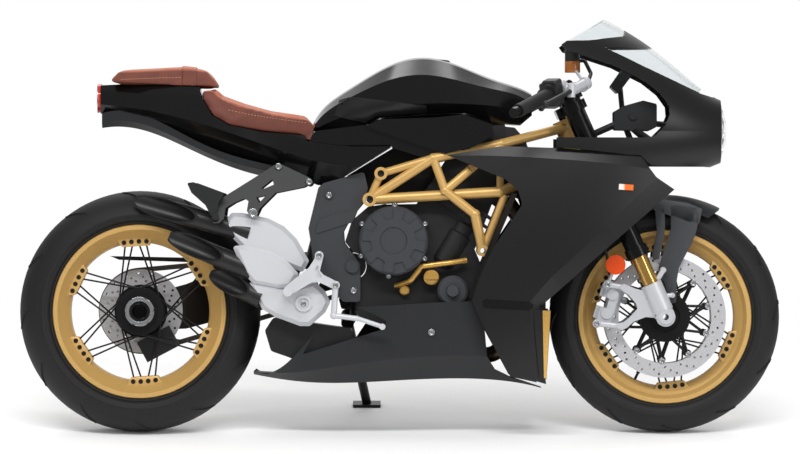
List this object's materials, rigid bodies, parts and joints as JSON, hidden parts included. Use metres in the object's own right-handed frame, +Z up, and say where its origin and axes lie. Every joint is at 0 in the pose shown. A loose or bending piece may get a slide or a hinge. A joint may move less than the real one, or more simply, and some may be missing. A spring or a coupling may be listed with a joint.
{
  "type": "sport motorcycle",
  "caption": "Sport motorcycle with a trellis tube frame, single-sided swingarm, wire-type wheels, half-open fairing and three outlets, parked on its side stand",
  "frame": {"origin": "on the ground below the middle of the parked machine's bounding box", "axes": "+X forward along the machine, +Y to its left, +Z up; the machine leans 10 degrees to its left on the side stand"},
  "size_m": [1.9998, 0.745, 1.0725],
  "materials": {
    "belly_pan": "dark grey",
    "brake_hoses": "black hose",
    "chain": "gold side plates",
    "chain_guard": "black",
    "cowl_bracket": "black paint",
    "engine": "grey cast crankcase",
    "engine_covers": "grey paint",
    "engine_fittings": "gold anodised cap, black hose",
    "exhaust_headers": "heat-tinted steel",
    "exhaust_tips": "dark steel",
    "fairing_trim": "gold",
    "fork_bottoms": "silver casting",
    "fork_reflectors": "orange",
    "fork_stanchions": "gold coated",
    "fork_tubes": "black anodised",
    "frame_plates": "dark grey paint",
    "front_brake_rings": "steel",
    "front_calipers": "silver casting",
    "front_disc_carriers": "black",
    "front_hub_spokes": "black",
    "front_mudguard": "satin black",
    "front_rim": "gold",
    "front_tyre": "black rubber",
    "fuel_cap": "machined",
    "fuel_tank": "gloss black paint",
    "grips": "black rubber",
    "hand_controls": "black",
    "hand_pumps": "silver casting",
    "handlebars": "black",
    "headlamp": "bright reflector and ring",
    "headlamp_lens": "clear lens",
    "indicators": "clear over orange",
    "instrument_panel": "black",
    "nose_cowl": "gloss black",
    "pillion_footrests": "silver casting",
    "pillion_pad": "brown leather",
    "radiator": "dark aluminium",
    "rear_brake_disc": "steel",
    "rear_caliper": "gold anodised",
    "rear_hub_spokes": "black",
    "rear_rim": "gold",
    "rear_shock": "black",
    "rear_sprocket": "steel",
    "rear_tyre": "black rubber",
    "rider_footrests": "silver casting",
    "rider_seat": "brown leather",
    "side_fairing_left": "satin black",
    "side_fairing_right": "satin black",
    "side_stand": "black",
    "silencer": "black heat paint",
    "silencer_shield": "satin silver casting",
    "swingarm": "silver casting",
    "tail_cowl": "gloss black",
    "tail_lamp": "red lens",
    "tail_undertray": "moulded black",
    "tank_side_covers": "gloss black",
    "trellis_frame": "satin gold paint",
    "triple_clamps": "grey casting",
    "windscreen": "clear"
  },
  "bodies": {
    "chassis": {"belly_pan": "belly_pan", "chain": "chain", "chain_guard": "chain_guard", "cowl_bracket": "cowl_bracket", "engine": "engine", "engine_covers": "engine_covers", "engine_fittings": "engine_fittings", "exhaust_headers": "exhaust_headers", "exhaust_tips": "exhaust_tips", "fairing_trim": "fairing_trim", "frame_plates": "frame_plates", "fuel_cap": "fuel_cap", "fuel_tank": "fuel_tank", "headlamp": "headlamp", "headlamp_lens": "headlamp_lens", "indicators": "indicators", "instrument_panel": "instrument_panel", "nose_cowl": "nose_cowl", "pillion_footrests": "pillion_footrests", "pillion_pad": "pillion_pad", "radiator": "radiator", "rear_caliper": "rear_caliper", "rear_shock": "rear_shock", "rider_footrests": "rider_footrests", "rider_seat": "rider_seat", "side_fairing_left": "side_fairing_left", "side_fairing_right": "side_fairing_right", "silencer": "silencer", "silencer_shield": "silencer_shield", "swingarm": "swingarm", "tail_cowl": "tail_cowl", "tail_lamp": "tail_lamp", "tail_undertray": "tail_undertray", "tank_side_covers": "tank_side_covers", "trellis_frame": "trellis_frame", "windscreen": "windscreen"},
    "steering": {"fork_tubes": "fork_tubes", "fork_stanchions": "fork_stanchions", "fork_bottoms": "fork_bottoms", "triple_clamps": "triple_clamps", "handlebars": "handlebars", "grips": "grips", "hand_controls": "hand_controls", "front_mudguard": "front_mudguard", "front_calipers": "front_calipers", "fork_reflectors": "fork_reflectors", "brake_hoses": "brake_hoses", "hand_pumps": "hand_pumps"},
    "front_wheel": {"front_tyre": "front_tyre", "front_rim": "front_rim", "front_hub_spokes": "front_hub_spokes", "front_brake_rings": "front_brake_rings", "front_disc_carriers": "front_disc_carriers"},
    "rear_wheel": {"rear_tyre": "rear_tyre", "rear_rim": "rear_rim", "rear_hub_spokes": "rear_hub_spokes", "rear_brake_disc": "rear_brake_disc", "rear_sprocket": "rear_sprocket"},
    "side_stand": {"side_stand": "side_stand"}
  },
  "joints": [
    {"name": "steering", "type": "hinge", "parent": "chassis", "child": "steering", "pos_m": [0.46127, -0.01362, 0.75176], "axis": [-0.4035, 0.1589, 0.9011], "range_deg": [-27, 27]},
    {"name": "front_wheel_spin", "type": "hinge", "parent": "steering", "child": "front_wheel", "pos_m": [0.697, -0.09331, 0.29984], "axis": [0, 0.9848, -0.1736], "continuous": true},
    {"name": "rear_wheel_spin", "type": "hinge", "parent": "chassis", "child": "rear_wheel", "pos_m": [-0.683, -0.09088, 0.31363], "axis": [0, 0.9848, -0.1736], "continuous": true},
    {"name": "side_stand", "type": "hinge", "parent": "chassis", "child": "side_stand", "pos_m": [-0.138, 0.04926, 0.26759], "axis": [0.0078, 0.8535, 0.521], "range_deg": [0, 85.8]}
  ]
}
